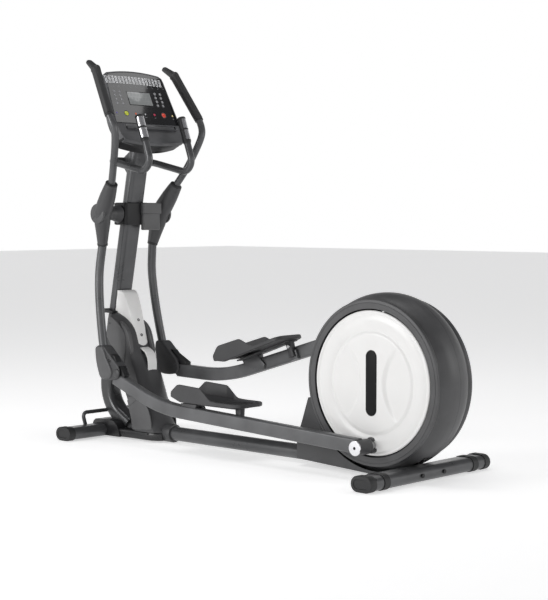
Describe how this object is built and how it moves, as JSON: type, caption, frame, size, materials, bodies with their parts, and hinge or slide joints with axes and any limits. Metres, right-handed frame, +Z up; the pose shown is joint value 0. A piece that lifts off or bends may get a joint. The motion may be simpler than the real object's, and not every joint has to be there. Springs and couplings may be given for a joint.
{
  "type": "elliptical trainer",
  "caption": "Rear-drive elliptical trainer with a leaning mast, swinging handlebars, long pedal arms, foot pedals and a large round rear drum on two stabiliser feet.",
  "frame": {"origin": "on the floor, under the middle of the overall box", "axes": "+X to the rear, where the drum is; +Y to the user's right; +Z up"},
  "size_m": [2.0917, 0.772, 1.7545],
  "materials": {
    "frame_paint": "satin powder coat",
    "cover_plastic": "fine moulded grain",
    "shell_plastic": "satin moulded",
    "white_plastic": "satin gloss",
    "rubber": "matte",
    "grip_foam": "textured",
    "steel": "turned",
    "sensor_steel": "bright brushed",
    "bolt_black": "black oxide",
    "cast": "machined",
    "belt": "ribbed",
    "console_plastic": "satin moulded",
    "console_gloss": "high gloss",
    "display": "gloss screen",
    "badge": "gloss",
    "button_start": "gloss",
    "button_stop": "gloss",
    "board": "solder mask",
    "tread": "ribbed tread"
  },
  "bodies": {
    "frame": {"main_beam": "frame_paint", "front_stabiliser": "frame_paint", "rear_stabiliser": "frame_paint", "lift_handle": "frame_paint", "mast": "frame_paint", "mast_foot": "frame_paint", "fixed_handlebar": "frame_paint", "drive_frame": "frame_paint", "base_cover": "cover_plastic", "shroud_left": "cover_plastic", "shroud_right": "cover_plastic", "pivot_housing": "cover_plastic", "drum_skirt": "cover_plastic", "drum_shell_left": "shell_plastic", "drum_shell_right": "shell_plastic", "mast_cover": "white_plastic", "stabiliser_end_caps": "rubber", "rear_foot_bands": "rubber", "stabiliser_bolts": "bolt_black", "pivot_axle": "steel", "flywheel_axle": "steel", "crank_bearings": "steel", "drive_belt": "belt", "console_bezel": "console_plastic", "console_back": "console_plastic", "console_panel": "console_gloss", "console_display": "display", "control_board": "board", "reading_rack": "console_plastic", "pulse_grips": "grip_foam", "pulse_sensors": "sensor_steel"},
    "crank": {"crank_axle": "steel", "drive_pulley": "cast", "crank_arms": "steel", "crank_disc_left": "white_plastic", "crank_disc_right": "white_plastic", "disc_badges": "badge"},
    "flywheel": {"flywheel": "cast"},
    "start_button": {"start_button": "button_start"},
    "stop_button": {"stop_button": "button_stop"},
    "left_swing": {"left_swing_hub": "cover_plastic", "left_lower_arm": "frame_paint", "left_handle": "frame_paint", "left_grip": "grip_foam", "left_joint_cover": "cover_plastic", "left_joint_bolt": "steel"},
    "left_pedal": {"left_pedal_arm": "frame_paint", "left_crank_pin": "sensor_steel", "left_pedal": "tread", "left_pedal_mount": "frame_paint"},
    "right_swing": {"right_swing_hub": "cover_plastic", "right_lower_arm": "frame_paint", "right_handle": "frame_paint", "right_grip": "grip_foam", "right_joint_cover": "cover_plastic", "right_joint_bolt": "steel"},
    "right_pedal": {"right_pedal_arm": "frame_paint", "right_crank_pin": "sensor_steel", "right_pedal": "tread", "right_pedal_mount": "frame_paint"}
  },
  "joints": [
    {"name": "crank_spin", "type": "hinge", "parent": "frame", "child": "crank", "pos_m": [0.69, 0, 0.379], "axis": [0, 1, 0], "continuous": true},
    {"name": "flywheel_spin", "type": "hinge", "parent": "frame", "child": "flywheel", "pos_m": [0.5, 0, 0.379], "axis": [0, 1, 0], "continuous": true},
    {"name": "left_arm_swing", "type": "hinge", "parent": "frame", "child": "left_swing", "pos_m": [-0.849, 0, 1.048], "axis": [0, 1, 0], "range_deg": [-22, 22]},
    {"name": "right_arm_swing", "type": "hinge", "parent": "frame", "child": "right_swing", "pos_m": [-0.849, 0, 1.048], "axis": [0, 1, 0], "range_deg": [-22, 22]},
    {"name": "left_pedal_arm_joint", "type": "hinge", "parent": "left_swing", "child": "left_pedal", "pos_m": [-0.767, 0, 0.379], "axis": [0, 1, 0], "range_deg": [-22, 22]},
    {"name": "right_pedal_arm_joint", "type": "hinge", "parent": "right_swing", "child": "right_pedal", "pos_m": [-0.767, 0, 0.379], "axis": [0, 1, 0], "range_deg": [-22, 22]},
    {"name": "start_button_press", "type": "slide", "parent": "frame", "child": "start_button", "axis": [-0.9121, 0, -0.4099], "range_m": [0, 0.0015], "stiffness_N_per_m": 400},
    {"name": "stop_button_press", "type": "slide", "parent": "frame", "child": "stop_button", "axis": [-0.9121, 0, -0.4099], "range_m": [0, 0.0015], "stiffness_N_per_m": 400}
  ],
  "couplings": [
    {"joint": "flywheel_spin", "follows": "crank_spin", "ratio": 5.2},
    {"joint": "right_arm_swing", "follows": "left_arm_swing", "ratio": -1},
    {"joint": "left_pedal_arm_joint", "follows": "left_arm_swing", "ratio": -1},
    {"joint": "right_pedal_arm_joint", "follows": "left_arm_swing", "ratio": 1}
  ]
}
